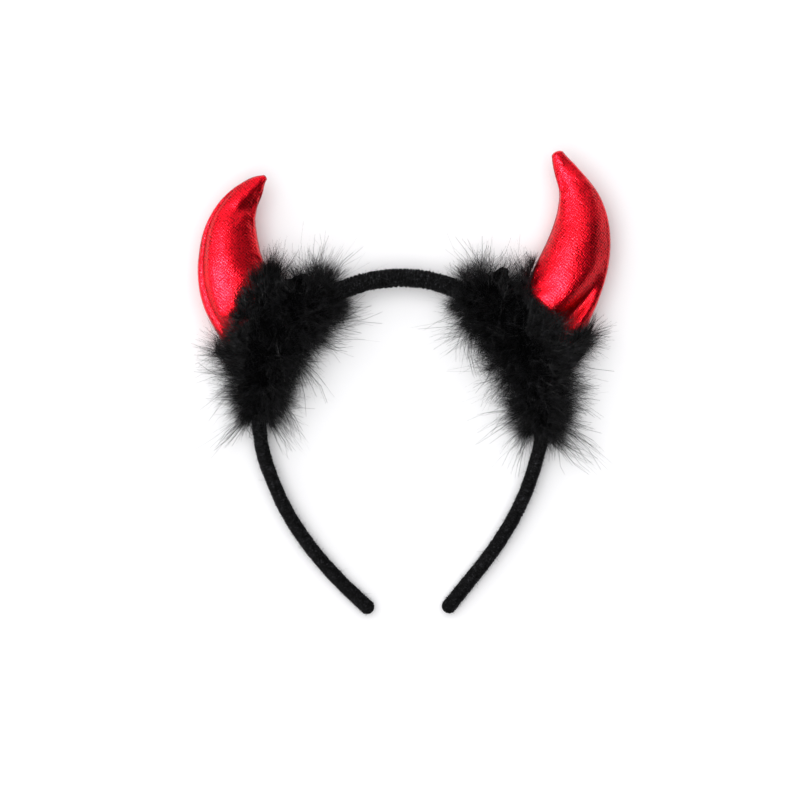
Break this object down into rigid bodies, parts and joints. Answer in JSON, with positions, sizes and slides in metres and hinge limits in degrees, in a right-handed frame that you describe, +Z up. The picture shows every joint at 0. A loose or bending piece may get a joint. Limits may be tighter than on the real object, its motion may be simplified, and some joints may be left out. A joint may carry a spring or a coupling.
{
  "type": "devil horns headband",
  "caption": "Lying costume headband: a chenille-covered hoop with curved, padded red foil-cloth horns that rise out of black marabou feather trims.",
  "frame": {"origin": "on the surface that it rests on, under the centre of the hoop's crown arc, where the head goes", "axes": "+Y from the hoop's open ends to its crown and the horns' tips, +X to the taller horn, +Z up from the surface"},
  "size_m": [0.174, 0.1936, 0.0287],
  "materials": {
    "black_chenille": "matt black wound chenille with fine ribs across it",
    "red_foil_cloth": "metallic red foil-printed cloth with a fine weave, glossy where stuffed tight",
    "black_marabou": "soft black marabou down with loose wisps"
  },
  "bodies": {
    "root": {"headband": "black_chenille", "left_horn": "red_foil_cloth", "right_horn": "red_foil_cloth", "left_marabou_trim": "black_marabou", "right_marabou_trim": "black_marabou"}
  },
  "joints": []
}
